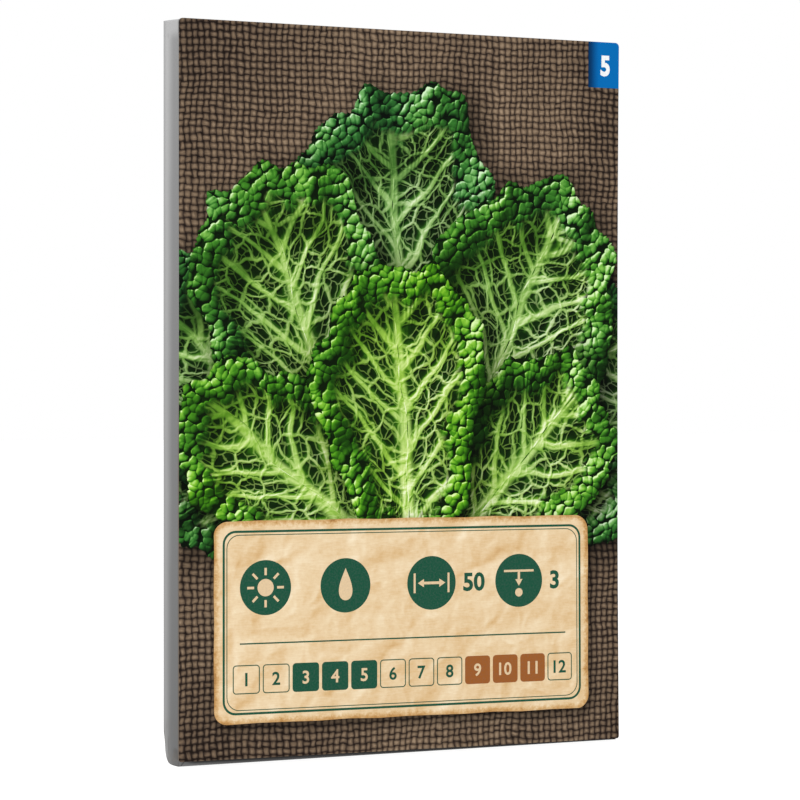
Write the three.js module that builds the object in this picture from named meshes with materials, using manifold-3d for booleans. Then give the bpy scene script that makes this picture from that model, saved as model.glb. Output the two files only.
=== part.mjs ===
// Seed packet: a printed card glued to the flange of a shallow pressed tray. A label on the
// tray's back carries the sowing guide, and a heat-sealed sachet inside holds the seed.
//
// Millimetres, +Z up, the printed front faces -Y. The origin is the middle of the foot.
import * as THREE from 'three';
import * as BufferGeometryUtils from 'three/addons/utils/BufferGeometryUtils.js';
import Module from 'manifold-3d';

// ---- Driving dimensions -----------------------------------------------------------------------
const PACKET_HEIGHT = 160;
const PACKET_WIDTH = 108;
const PACKET_DEPTH = 10.6;

const CARD_THICKNESS = 0.6;
const LABEL_THICKNESS = 0.15;
const GLUE_GAP = 0.1;            // room left for the film of glue between two pieces
const RIGHT_WAIST = 0.4;         // how far the right side draws in at mid height; the left is straight
const WAIST_STEPS = 12;

const CARD_CORNER_RADIUS = 0.6;
const CARD_LIFT_LEFT = 1.1;      // the card's lower edge stands this far above the foot
const CARD_LIFT_RIGHT = 0.35;

const TRAY_WALL = 0.5;
const TRAY_INSET = 0.05;         // the tray stays this far inside the card's long sides
const TRAY_TOP_INSET = 0.25;
const TRAY_SIDE_CROWN = 0.2;     // the side walls swell outwards by this much at mid depth
const TRAY_CORNER_RADIUS = 0.7;  // the upright edges at the back
const TRAY_HEEL_RADIUS = 0.8;    // the lower edge at the back, along its middle
const TRAY_HEEL_RADIUS_AT_ENDS = 5;
const HEEL_BLEND = 15;           // width at each end over which the lower edge grows rounder
const HEEL_BLEND_STEPS = 6;
const HEEL_STEPS = 8;
const FLANGE_WIDTH = 6;
const FLANGE_CORNER_RADIUS = 4;
const ARC_STEPS = 6;

const LABEL_WIDTH = 92;
const LABEL_HEIGHT = 140;
const LABEL_CORNER_RADIUS = 3;

const SACHET_WIDTH = 90;
const SACHET_HEIGHT = 118;
const SACHET_SEAL = 8;           // the flat sealed band round the pocket
const SACHET_BULGE = 1.7;        // how far each web swells away from the seal's plane
const SACHET_FILM = 0.12;
const SACHET_GAP = 0.12;         // between the two webs in the sealed band
const SACHET_COLUMNS = 15;
const SACHET_ROWS = 20;
const SACHET_HEEL = 5;           // height over which the pocket opens to its full depth

const SEED_RADIUS = 1;
const SEED_PITCH = 2.12;
const SEED_ROWS = [12, 11, 10, 9, 8];

// ---- Places worked out from them --------------------------------------------------------------
const FRONT_Y = -PACKET_DEPTH / 2;
const BACK_Y = PACKET_DEPTH / 2;
const FLANGE_Y = FRONT_Y + CARD_THICKNESS + GLUE_GAP;
const TRAY_BACK_Y = BACK_Y - LABEL_THICKNESS - GLUE_GAP;
const TRAY_TOP = PACKET_HEIGHT - TRAY_TOP_INSET;
const SACHET_BOTTOM = TRAY_WALL + 0.4;
const SACHET_Y = (FLANGE_Y + TRAY_WALL + TRAY_BACK_Y) / 2;

// ---- Solids -----------------------------------------------------------------------------------
const wasm = await Module();
wasm.setup();

function toManifold(geometry) {
  const bare = geometry.index ? geometry.toNonIndexed() : geometry.clone();
  bare.deleteAttribute('normal');
  bare.deleteAttribute('uv');
  const merged = BufferGeometryUtils.mergeVertices(bare, 1e-4);
  return new wasm.Manifold(new wasm.Mesh({
    numProp: 3,
    vertProperties: new Float32Array(merged.attributes.position.array),
    triVerts: new Uint32Array(merged.index.array),
  }));
}

function toGeometry(solid) {
  const mesh = solid.getMesh();
  const geometry = new THREE.BufferGeometry();
  geometry.setAttribute('position', new THREE.BufferAttribute(new Float32Array(mesh.vertProperties), 3));
  geometry.setIndex(new THREE.BufferAttribute(new Uint32Array(mesh.triVerts), 1));
  return geometry;
}

// Extrudes an outline given in a drawing plane, and turns it so that the drawing's two axes
// become the packet's own: 'front' draws in X and Z, 'plan' in X and Y.
function extrude(shape, view, from, to) {
  const geometry = new THREE.ExtrudeGeometry(shape, {
    depth: to - from, bevelEnabled: false, steps: 1, curveSegments: ARC_STEPS,
  });
  geometry.translate(0, 0, view === 'front' ? -to : from);
  if (view === 'front') geometry.rotateX(Math.PI / 2);
  return geometry;
}

// A row of evenly spaced numbers, `count` of them with both ends.
function evenly(from, to, count) {
  return Array.from({ length: count }, (_, i) => THREE.MathUtils.lerp(from, to, i / (count - 1)));
}

// Half the packet's width at height z, on the side `sign`: full at the two ends, and on the
// right drawn in at mid height.
function halfWidth(sign, z) {
  const fromMiddle = 2 * z / PACKET_HEIGHT - 1;
  const waist = sign > 0 ? RIGHT_WAIST * (1 - fromMiddle * fromMiddle) : 0;
  return PACKET_WIDTH / 2 - waist;
}

// A long side seen from the front, from height `from` to height `to`, on the side `sign`.
function longSide(sign, from, to, inset) {
  const points = [];
  for (let i = 0; i <= WAIST_STEPS; i += 1) {
    const z = THREE.MathUtils.lerp(from, to, i / WAIST_STEPS);
    points.push(new THREE.Vector2(sign * (halfWidth(sign, z) - inset), z));
  }
  return points;
}

// An outline through straight and bowed stretches, each corner of it cut by a round one.
function roundedOutline(corners, radius) {
  const path = new THREE.Path();
  corners.forEach((corner, i) => {
    const before = corners[(i + corners.length - 1) % corners.length];
    const after = corners[(i + 1) % corners.length];
    const entry = corner.clone().add(before.clone().sub(corner).setLength(radius));
    const exit = corner.clone().add(after.clone().sub(corner).setLength(radius));
    if (i === 0) path.moveTo(entry.x, entry.y);
    else path.lineTo(entry.x, entry.y);
    path.quadraticCurveTo(corner.x, corner.y, exit.x, exit.y);
  });
  path.closePath();
  return path;
}

function roundedRectangle(left, right, bottom, top, radius) {
  return new THREE.Shape(roundedOutline([
    new THREE.Vector2(left, bottom), new THREE.Vector2(right, bottom),
    new THREE.Vector2(right, top), new THREE.Vector2(left, top),
  ], radius).getPoints(ARC_STEPS));
}

// ---- Front card -------------------------------------------------------------------------------
function cardShape() {
  const r = CARD_CORNER_RADIUS;
  const left = -PACKET_WIDTH / 2;
  const right = PACKET_WIDTH / 2;
  const top = PACKET_HEIGHT;
  const shape = new THREE.Shape();
  const rightSide = longSide(1, CARD_LIFT_RIGHT + r, top - r, 0);
  const leftSide = longSide(-1, CARD_LIFT_LEFT + r, top - r, 0).reverse();
  shape.moveTo(left + r, CARD_LIFT_LEFT);
  shape.lineTo(right - r, CARD_LIFT_RIGHT);
  shape.quadraticCurveTo(right, CARD_LIFT_RIGHT, rightSide[0].x, rightSide[0].y);
  rightSide.slice(1).forEach((point) => shape.lineTo(point.x, point.y));
  shape.quadraticCurveTo(right, top, right - r, top);
  shape.lineTo(left + r, top);
  shape.quadraticCurveTo(left, top, leftSide[0].x, leftSide[0].y);
  leftSide.slice(1).forEach((point) => shape.lineTo(point.x, point.y));
  shape.quadraticCurveTo(left, CARD_LIFT_LEFT, left + r, CARD_LIFT_LEFT);
  return shape;
}

function frontCard() {
  return extrude(cardShape(), 'front', FRONT_Y, FRONT_Y + CARD_THICKNESS);
}

// ---- Tray -------------------------------------------------------------------------------------
// The rounding of the tray's lower back edge at x: small along the middle so that the packet
// stands on a broad foot, and growing towards both ends.
function heelRadius(x) {
  const end = PACKET_WIDTH / 2;
  return THREE.MathUtils.lerp(TRAY_HEEL_RADIUS, TRAY_HEEL_RADIUS_AT_ENDS,
    THREE.MathUtils.smoothstep(Math.abs(x), end - HEEL_BLEND, end));
}

// The tray's outline in Y and Z at x, counter-clockwise as seen from +X.
function trayProfile(x, inset, frontY) {
  const top = TRAY_TOP - inset;
  const back = TRAY_BACK_Y - inset;
  const heel = heelRadius(x) - inset;
  const centre = new THREE.Vector2(back - heel, inset + heel);
  const points = [new THREE.Vector2(frontY, inset)];
  for (const angle of evenly(-Math.PI / 2, 0, HEEL_STEPS + 1)) {
    points.push(new THREE.Vector2(Math.cos(angle), Math.sin(angle)).multiplyScalar(heel).add(centre));
  }
  points.push(new THREE.Vector2(back, top), new THREE.Vector2(frontY, top));
  return points;
}

// A closed body through the tray's outlines at a row of stations along X.
function trayLoft(inset, frontY) {
  const end = PACKET_WIDTH / 2;
  const blend = evenly(end - HEEL_BLEND, end, HEEL_BLEND_STEPS + 1);
  const right = [...blend, end + 1];
  const stations = [...right.map((x) => -x).reverse(), ...right];
  const positions = [];
  const index = [];
  stations.forEach((x) => {
    trayProfile(x, inset, frontY).forEach((point) => positions.push(x, point.x, point.y));
  });
  const count = positions.length / 3 / stations.length;
  for (let station = 0; station < stations.length - 1; station += 1) {
    for (let i = 0; i < count; i += 1) {
      const a = station * count + i;
      const b = station * count + (i + 1) % count;
      index.push(a, b, a + count, b, b + count, a + count);
    }
  }
  const last = (stations.length - 1) * count;
  for (let i = 1; i < count - 1; i += 1) {
    index.push(0, i + 1, i);
    index.push(last, last + i, last + i + 1);
  }
  const geometry = new THREE.BufferGeometry();
  geometry.setAttribute('position', new THREE.Float32BufferAttribute(positions, 3));
  geometry.setIndex(index);
  return geometry;
}

// The tray's outside and its hollow are the same form, the hollow smaller by one wall. Each is
// what three bodies have in common: the front view and the plan drawn through, and the loft.
function trayForm(inset, frontY) {
  const bottom = inset;
  const top = TRAY_TOP - inset;
  const back = TRAY_BACK_Y - inset;
  const margin = TRAY_INSET + inset;
  const beyond = 1;

  const frontView = new THREE.Shape([
    ...longSide(1, bottom, top, margin),
    ...longSide(-1, bottom, top, margin).reverse(),
  ]);

  const corner = TRAY_CORNER_RADIUS - inset;
  const side = PACKET_WIDTH / 2 - margin;
  const shoulder = side - TRAY_SIDE_CROWN;
  const middle = (frontY + back - corner) / 2;
  const plan = new THREE.Shape();
  plan.moveTo(-shoulder, frontY);
  plan.lineTo(shoulder, frontY);
  plan.quadraticCurveTo(2 * side - shoulder, middle, shoulder, back - corner);
  plan.quadraticCurveTo(shoulder, back, shoulder - corner, back);
  plan.lineTo(-shoulder + corner, back);
  plan.quadraticCurveTo(-shoulder, back, -shoulder, back - corner);
  plan.quadraticCurveTo(-2 * side + shoulder, middle, -shoulder, frontY);

  return toManifold(extrude(frontView, 'front', frontY - beyond, back + beyond))
    .intersect(toManifold(trayLoft(inset, frontY)))
    .intersect(toManifold(extrude(plan, 'plan', bottom - beyond, top + beyond)));
}

function tray() {
  const side = PACKET_WIDTH / 2 - FLANGE_WIDTH;
  const window = roundedRectangle(-side, side, FLANGE_WIDTH, TRAY_TOP - FLANGE_WIDTH, FLANGE_CORNER_RADIUS);
  const windowCut = toManifold(extrude(window, 'front', FLANGE_Y - 1, FLANGE_Y + 2 * TRAY_WALL));
  const hollow = trayForm(TRAY_WALL, FLANGE_Y + TRAY_WALL);
  return toGeometry(trayForm(0, FLANGE_Y).subtract(hollow).subtract(windowCut));
}

// ---- Back label -------------------------------------------------------------------------------
function backLabel() {
  const bottom = (PACKET_HEIGHT - LABEL_HEIGHT) / 2;
  const outline = roundedRectangle(
    -LABEL_WIDTH / 2, LABEL_WIDTH / 2, bottom, bottom + LABEL_HEIGHT, LABEL_CORNER_RADIUS,
  );
  return extrude(outline, 'front', BACK_Y - LABEL_THICKNESS, BACK_Y);
}

// ---- Sachet -----------------------------------------------------------------------------------
// How far a web stands off the plane of the seal, at x across and h above the lower seal.
function pocketOpening(x, h) {
  const pocketHalf = SACHET_WIDTH / 2 - SACHET_SEAL;
  const pocketHeight = SACHET_HEIGHT - 2 * SACHET_SEAL;
  if (Math.abs(x) >= pocketHalf || h <= 0 || h >= pocketHeight) return 0;
  const across = 1 - (x / pocketHalf) ** 4;
  const rise = THREE.MathUtils.smootherstep(h, -SACHET_HEEL / 2, SACHET_HEEL);
  const fall = 1 - THREE.MathUtils.smoothstep(h, pocketHeight / 4, pocketHeight);
  return SACHET_BULGE * across * rise * fall;
}

// A web is a film of even thickness over a grid; `sign` is -1 for the front web, 1 for the back.
function sachetWeb(sign) {
  const positions = [];
  const index = [];
  const columns = SACHET_COLUMNS + 1;
  const layer = columns * (SACHET_ROWS + 1);
  const seal = SACHET_SEAL;
  const gridX = [-SACHET_WIDTH / 2, ...evenly(-SACHET_WIDTH / 2 + seal, SACHET_WIDTH / 2 - seal,
    SACHET_COLUMNS - 1), SACHET_WIDTH / 2];
  const gridH = [-seal, 0, SACHET_HEEL / 3, 2 * SACHET_HEEL / 3, SACHET_HEEL,
    ...evenly(SACHET_HEEL, SACHET_HEIGHT - 2 * seal, SACHET_ROWS - 4).slice(1), SACHET_HEIGHT - seal];
  for (const film of [0, SACHET_FILM]) {
    for (const h of gridH) {
      for (const x of gridX) {
        const off = SACHET_GAP / 2 + pocketOpening(x, h) + film;
        positions.push(x, SACHET_Y + sign * off, SACHET_BOTTOM + seal + h);
      }
    }
  }
  const quad = (a, b, c, d) => {
    if (sign > 0) index.push(a, b, c, a, c, d);
    else index.push(a, c, b, a, d, c);
  };
  for (let row = 0; row < gridH.length - 1; row += 1) {
    for (let column = 0; column < columns - 1; column += 1) {
      const a = row * columns + column;
      quad(a, a + 1, a + 1 + columns, a + columns);
      quad(layer + a, layer + a + columns, layer + a + 1 + columns, layer + a + 1);
    }
  }
  const rim = [];
  for (let column = 0; column < columns - 1; column += 1) rim.push(column);
  for (let row = 0; row < gridH.length - 1; row += 1) rim.push(row * columns + columns - 1);
  for (let column = columns - 1; column > 0; column -= 1) rim.push((gridH.length - 1) * columns + column);
  for (let row = gridH.length - 1; row > 0; row -= 1) rim.push(row * columns);
  rim.forEach((here, i) => {
    const next = rim[(i + 1) % rim.length];
    quad(here, layer + here, layer + next, next);
  });
  const geometry = new THREE.BufferGeometry();
  geometry.setAttribute('position', new THREE.Float32BufferAttribute(positions, 3));
  geometry.setIndex(index);
  return geometry;
}

// ---- Seeds ------------------------------------------------------------------------------------
// One layer of round seeds lies in the pocket, each row in the dips of the row below.
function seedPlaces() {
  const places = [];
  const rowRise = SEED_PITCH * Math.sqrt(3) / 2;
  const lowest = SACHET_BOTTOM + SACHET_SEAL + SACHET_HEEL;
  SEED_ROWS.forEach((count, row) => {
    for (let i = 0; i < count; i += 1) {
      places.push(new THREE.Vector3((i - (count - 1) / 2) * SEED_PITCH, SACHET_Y, lowest + row * rowRise));
    }
  });
  return places;
}

// ---- Assembly ---------------------------------------------------------------------------------
const printedCard = new THREE.MeshStandardMaterial({ color: 0x8a7a58, roughness: 0.55, metalness: 0 });
const greyBoard = new THREE.MeshStandardMaterial({ color: 0xa4a4a4, roughness: 0.6, metalness: 0 });
const labelPaper = new THREE.MeshStandardMaterial({ color: 0xe3c79f, roughness: 0.75, metalness: 0 });
const sachetPaper = new THREE.MeshStandardMaterial({ color: 0xdfe0da, roughness: 0.45, metalness: 0 });
const seedCoat = new THREE.MeshStandardMaterial({ color: 0x4a3328, roughness: 0.6, metalness: 0 });

const packet = new THREE.Group();

function addPiece(name, geometry, material) {
  const mesh = new THREE.Mesh(geometry, material);
  mesh.name = name;
  packet.add(mesh);
  return mesh;
}

addPiece('front_card', frontCard(), printedCard);
addPiece('tray', tray(), greyBoard);
addPiece('back_label', backLabel(), labelPaper);
addPiece('sachet_front', sachetWeb(-1), sachetPaper);
addPiece('sachet_back', sachetWeb(1), sachetPaper);
seedPlaces().forEach((place, i) => {
  const seed = addPiece(`seed_${String(i + 1).padStart(2, '0')}`,
    new THREE.IcosahedronGeometry(SEED_RADIUS, 1), seedCoat);
  seed.position.copy(place);
});

export default packet;
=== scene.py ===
"""Looks of an upright seed packet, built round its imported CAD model.

The printed card, the pressed tray, the back label, the sachet and the seeds are each a piece here.
The design on the card is generic: a fan of loose savoy leaves on sacking, over a plain kraft label.
"""
import math

import bpy
import bmesh
import numpy as np
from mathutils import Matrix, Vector


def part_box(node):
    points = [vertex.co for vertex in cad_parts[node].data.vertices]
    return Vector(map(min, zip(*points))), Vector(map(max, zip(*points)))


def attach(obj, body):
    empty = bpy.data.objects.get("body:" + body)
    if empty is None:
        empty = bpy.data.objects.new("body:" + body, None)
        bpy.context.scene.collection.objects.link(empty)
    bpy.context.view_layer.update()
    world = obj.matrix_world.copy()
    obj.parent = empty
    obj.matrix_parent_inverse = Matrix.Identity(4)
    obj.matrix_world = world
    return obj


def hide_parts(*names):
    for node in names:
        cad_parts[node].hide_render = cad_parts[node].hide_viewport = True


MM = 0.001

# ---- The packet's sizes, read from the frame ----
def box_mm(node):
    """The lowest and the highest corner of a CAD piece, in millimetres."""
    return [np.array(corner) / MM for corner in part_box(node)]


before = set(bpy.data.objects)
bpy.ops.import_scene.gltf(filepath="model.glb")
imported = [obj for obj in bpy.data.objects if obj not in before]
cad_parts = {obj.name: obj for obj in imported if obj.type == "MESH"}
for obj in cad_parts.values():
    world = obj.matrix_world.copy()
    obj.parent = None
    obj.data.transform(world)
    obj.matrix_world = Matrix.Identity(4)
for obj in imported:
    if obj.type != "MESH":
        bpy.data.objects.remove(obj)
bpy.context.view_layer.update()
CARD_LOW, CARD_HIGH = box_mm("front_card")
TRAY_LOW, TRAY_HIGH = box_mm("tray")
LABEL_LOW, LABEL_HIGH = box_mm("back_label")
FRONT = CARD_LOW[1]
HEIGHT = CARD_HIGH[2]
WIDTH = 2 * CARD_HIGH[0]

# The card's outline has the CAD piece's values, apart from its upper corners.
RIGHT_WAIST = 0.4  # the right side draws in at mid height, the left one is straight
CORNER = 0.6
TOP_CORNER = 0.95  # the two upper corners are worn a little rounder
LIFT_LEFT = 1.1  # the lower edge stands this far above the foot
LIFT_RIGHT = 0.35


# ---- Materials: a short way to write node trees ----
class Value:
    """A number, place or colour on its way through a material's nodes. Sums on it read as sums."""

    def __init__(self, graph, socket):
        self.graph = graph
        self.socket = socket

    def __add__(self, other):
        return self.graph.math("ADD", self, other)

    def __sub__(self, other):
        return self.graph.math("SUBTRACT", self, other)

    def __rsub__(self, other):
        return self.graph.math("SUBTRACT", other, self)

    def __mul__(self, other):
        return self.graph.math("MULTIPLY", self, other)

    def __truediv__(self, other):
        return self.graph.math("DIVIDE", self, other)

    def __pow__(self, other):
        return self.graph.math("POWER", self, other)

    def __abs__(self):
        return self.graph.math("ABSOLUTE", self)


class Graph:
    """A material's node tree, with one method for each kind of node that the materials use."""

    def __init__(self, name, roughness, specular):
        self.material = bpy.data.materials.new(name)
        self.material.use_nodes = True
        self.tree = self.material.node_tree
        self.shader = self.tree.nodes["Principled BSDF"]
        self.shader.inputs["Roughness"].default_value = roughness
        self.shader.inputs["Specular IOR Level"].default_value = specular

    def node(self, kind, inputs=(), output=0, **settings):
        """Adds a node and gives the value of one of its outputs."""
        made = self.tree.nodes.new(kind)
        for key, value in settings.items():
            setattr(made, key, value)
        for key, value in dict(inputs).items():
            self.feed(made.inputs[key], value)
        return Value(self, made.outputs[output])

    def feed(self, socket, value):
        if isinstance(value, Value):
            self.tree.links.new(value.socket, socket)
        elif isinstance(value, (tuple, list)) and len(value) == 3 and socket.type == "RGBA":
            socket.default_value = (*value, 1.0)
        else:
            socket.default_value = value

    def math(self, operation, a, b=0.0, clamp=False):
        return self.node("ShaderNodeMath", {0: a, 1: b}, operation=operation, use_clamp=clamp)

    def vector_math(self, operation, a, b=(0, 0, 0), output=0):
        return self.node("ShaderNodeVectorMath", {0: a, 1: b}, output, operation=operation)

    def smooth(self, value, low, high, start=0.0, end=1.0, kind="SMOOTHSTEP"):
        """From start, where the value is low, to end, where it's high, along an S-shaped curve."""
        inputs = {"Value": value, "From Min": low, "From Max": high, "To Min": start, "To Max": end}
        return self.node("ShaderNodeMapRange", inputs, interpolation_type=kind)

    def linear(self, value, low, high, start=0.0, end=1.0):
        return self.smooth(value, low, high, start, end, "LINEAR")

    def mix(self, factor, a, b, blend="MIX"):
        """Colour a at factor 0, colour b at factor 1."""
        colours_from, colour_to = 6, 2  # the node's earlier sockets are for numbers and vectors
        inputs = {0: factor, colours_from: a, colours_from + 1: b}
        return self.node("ShaderNodeMix", inputs, colour_to, data_type="RGBA", blend_type=blend)

    def shaded(self, colour, share):
        """The colour times a number."""
        return self.mix(1.0, colour, self.combine(share, share, share), "MULTIPLY")

    def ramp(self, value, places, codes):
        """Turns a value into a colour: the first of the places has the first of the codes, and so on."""
        made = self.node("ShaderNodeValToRGB", {0: value})
        elements = made.socket.node.color_ramp.elements
        while len(elements) < len(places):
            elements.new(0.5)
        for element, place, code in zip(elements, places, codes.split()):
            element.position = place
            element.color = (*srgb(code), 1.0)
        return made

    def combine(self, x, y, z=0.0):
        return self.node("ShaderNodeCombineXYZ", {0: x, 1: y, 2: z})

    def separate(self, vector):
        first = self.node("ShaderNodeSeparateXYZ", {0: vector})
        return [Value(self, socket) for socket in first.socket.node.outputs]

    def noise(self, vector, scale, detail=2.0, roughness=0.5, output=0):
        inputs = {"Vector": vector, "Scale": scale, "Detail": detail, "Roughness": roughness}
        return self.node("ShaderNodeTexNoise", inputs, output)

    def voronoi(self, vector, scale, feature="F1", **inputs):
        """The distance that the feature names, in flat cells that are 1 / scale wide."""
        inputs = {"Vector": vector, "Scale": scale, **inputs}
        return self.node("ShaderNodeTexVoronoi", inputs, "Distance",
                         feature=feature, voronoi_dimensions="2D")

    def attribute(self, name):
        return self.node("ShaderNodeAttribute", output="Fac", attribute_name=name)

    def place_mm(self):
        """The point's place on the packet in millimetres. Every object sits at the origin."""
        place = self.node("ShaderNodeTexCoord", output="Object")
        return self.vector_math("MULTIPLY", place, (1 / MM, 1 / MM, 1 / MM))

    def bump(self, height, distance, strength):
        inputs = {"Height": height, "Distance": distance, "Strength": strength}
        self.feed(self.shader.inputs["Normal"], self.node("ShaderNodeBump", inputs))

    def finish(self, colour):
        self.feed(self.shader.inputs["Base Color"], colour)
        return self.material


def printed(name, roughness=0.5):
    """The node tree of a printed surface, which hardly shines."""
    return Graph(name, roughness=roughness, specular=0.04)


def srgb(code):
    """A colour written as six hexadecimal digits, as the linear values that a shader takes."""
    parts = [int(code[i:i + 2], 16) / 255 for i in (0, 2, 4)]
    return tuple(p / 12.92 if p <= 0.04045 else ((p + 0.055) / 1.055) ** 2.4 for p in parts)


# ---- Meshes ----
def make_mesh(name, points, faces, materials, uv=None, values=None, smooth=True):
    """A mesh object from points in millimetres. uv is a pair and values are named numbers for each point."""
    mesh = bpy.data.meshes.new(name)
    mesh.from_pydata((np.asarray(points, float) * MM).tolist(), [], [list(map(int, f)) for f in faces])
    for material in materials:
        mesh.materials.append(material)
    if uv is not None:
        layer = mesh.uv_layers.new(name="Place")
        corners = np.empty(len(mesh.loops), np.int32)
        mesh.loops.foreach_get("vertex_index", corners)
        layer.data.foreach_set("uv", np.asarray(uv, np.float32)[corners].ravel())
    for key, numbers in (values or {}).items():
        mesh.attributes.new(key, "FLOAT", "POINT").data.foreach_set("value", np.asarray(numbers, np.float32))
    mesh.polygons.foreach_set("use_smooth", [smooth] * len(mesh.polygons))
    mesh.update()
    made = bpy.data.objects.new(name, mesh)
    bpy.context.scene.collection.objects.link(made)
    return made


def grid_points(columns, rows):
    """The x and z of every point of a grid, row by row."""
    return [part.ravel() for part in np.meshgrid(columns, rows)]


def grid_faces(rows, columns, first=0, closed=False):
    """Quads between neighbouring rows of points. Closed rows join their last point to their first."""
    faces = []
    for row in range(rows - 1):
        for column in range(columns if closed else columns - 1):
            a = first + row * columns + column
            b = first + row * columns + (column + 1) % columns
            faces.append((a, b, b + columns, a + columns))
    return faces


def grid_rim(rows, columns):
    """The points round a grid's border: along its first row and back along its last one."""
    rim = list(range(columns)) + [row * columns + columns - 1 for row in range(1, rows)]
    rim += [(rows - 1) * columns + column for column in range(columns - 2, -1, -1)]
    return rim + [row * columns for row in range(rows - 2, 0, -1)]


def backed(points, faces, rim, middle, depth):
    """Gives a sheet its thickness: walls behind its rim, and a flat back fanned out behind its middle."""
    first, count = len(points), len(rim)
    back = np.concatenate([points[rim], [middle]]) + (0, depth, 0)
    walls = []
    for k, here in enumerate(rim):
        after = (k + 1) % count
        walls.append((here, first + k, first + after, rim[after]))
        walls.append((first + count, first + after, first + k))
    return np.concatenate([points, back]), faces + walls


# ---- The card's outline ----
def half_width(across, z):
    upward = 2 * z / HEIGHT - 1
    return WIDTH / 2 - RIGHT_WAIST * (1 - upward ** 2) * np.clip(across, 0, 1)


def on_card(x, z):
    """Moves points of a plain WIDTH by HEIGHT panel onto the card, whose sides aren't quite straight."""
    x, z = np.asarray(x, float), np.asarray(z, float)
    across = x / (WIDTH / 2)
    bottom = LIFT_LEFT + (LIFT_RIGHT - LIFT_LEFT) * (across + 1) / 2
    moved_z = bottom + (HEIGHT - bottom) * z / HEIGHT
    return across * half_width(across, moved_z), moved_z


def clip_to_card(x, z):
    """Draws the panel's square corners in to round ones, with the points near them."""
    radius = np.where(z > HEIGHT / 2, TOP_CORNER, CORNER)
    near_x = np.clip((np.abs(x) - WIDTH / 2) / radius + 1, 0, 1)
    near_z = np.clip((np.abs(z - HEIGHT / 2) - HEIGHT / 2) / radius + 1, 0, 1)
    drawn_x = radius * near_x * (1 - np.sqrt(1 - near_z ** 2 / 2))
    drawn_z = radius * near_z * (1 - np.sqrt(1 - near_x ** 2 / 2))
    return x - np.sign(x) * drawn_x, z - np.sign(z - HEIGHT / 2) * drawn_z


# ---- Stage ----
VIEW_TURN = math.radians(25.50)  # the camera stands this far to the left of the printed front
NEAR_EDGE_DISTANCE = 606.6  # along the view, from the camera to the packet's nearest upright edge
NEAR_EDGE_ASIDE = 47.18  # that edge lies this far to the left of the view's middle
EYE_HEIGHT = 83.1
FOCAL_LENGTH = 127.95
HORIZON_DROP = 0.0276  # share of the picture's width that the view is lowered by
SOFTBOX_PLACE = Vector((-0.30, 0.13, 0.33))  # in metres
SOFTBOX_AIM = Vector((-0.054, 0, 0.13))
SOFTBOX_SIZE = 0.12
SOFTBOX_WATTS = 1.1
TABLE_REACH = 3000
TABLE_GLOW = 0.85
TABLE_GREYS = ((0.24, 0.24, 0.24), (0.26, 0.26, 0.26))


def add_camera():
    right = Vector((math.cos(VIEW_TURN), -math.sin(VIEW_TURN), 0))
    ahead = Vector((math.sin(VIEW_TURN), math.cos(VIEW_TURN), 0))
    near_edge = Vector((-WIDTH / 2, FRONT, EYE_HEIGHT))
    place = near_edge + right * NEAR_EDGE_ASIDE - ahead * NEAR_EDGE_DISTANCE
    camera = bpy.data.cameras.new("camera")
    camera.lens = FOCAL_LENGTH
    camera.shift_y = -HORIZON_DROP
    camera.clip_start = 0.01
    holder = bpy.data.objects.new("camera", camera)
    holder.location = place * MM
    holder.rotation_euler = ahead.to_track_quat("-Z", "Y").to_euler()
    bpy.context.scene.collection.objects.link(holder)
    bpy.context.scene.camera = holder


def add_softbox():
    """A small light above, behind and to the left. It lights the side and leaves the printed front alone."""
    light = bpy.data.lights.new("side_softbox", "AREA")
    light.shape = "RECTANGLE"
    light.size = light.size_y = SOFTBOX_SIZE
    light.energy = SOFTBOX_WATTS
    holder = bpy.data.objects.new("side_softbox", light)
    holder.location = SOFTBOX_PLACE
    holder.rotation_euler = (SOFTBOX_AIM - SOFTBOX_PLACE).to_track_quat("-Z", "Y").to_euler()
    bpy.context.scene.collection.objects.link(holder)


def add_stage():
    world = bpy.data.worlds.new("studio")
    world.use_nodes = True
    background = world.node_tree.nodes["Background"]
    background.inputs["Color"].default_value = (1, 1, 1, 1)
    background.inputs["Strength"].default_value = 1.0
    bpy.context.scene.world = world

    # the floor is a pale table that glows a little, as a product photographer's light table does
    paper = Graph("table_top", roughness=0.9, specular=0.1)
    tone = paper.noise(paper.place_mm(), 0.01)
    paper.shader.inputs["Emission Color"].default_value = (1, 1, 1, 1)
    paper.shader.inputs["Emission Strength"].default_value = TABLE_GLOW
    floor_material = paper.finish(paper.mix(tone, *TABLE_GREYS))
    corners = [(-1, -1, 0), (1, -1, 0), (1, 1, 0), (-1, 1, 0)]
    floor = make_mesh("floor", TABLE_REACH * np.array(corners), [(0, 1, 2, 3)], [floor_material])
    add_softbox()
    bpy.context.scene.view_settings.view_transform = "Standard"


# ---- The print ----
LAYER = 0.012  # the printed layers stand this far apart
PRINT_LIGHT = Vector((-0.55, 0.60, 0.58)).normalized()  # from the upper left: along x, z and out
LEAF_SHADOW = {"shift": np.array((1.6, -1.9)), "reach": 8.0, "depth": 0.9}
LABEL_SHADOW = {"shift": np.array((0.7, -1.0)), "reach": 3.2, "depth": 0.75}
POINTS_AT_ONCE = 4000  # keeps the tables of distances small


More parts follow.
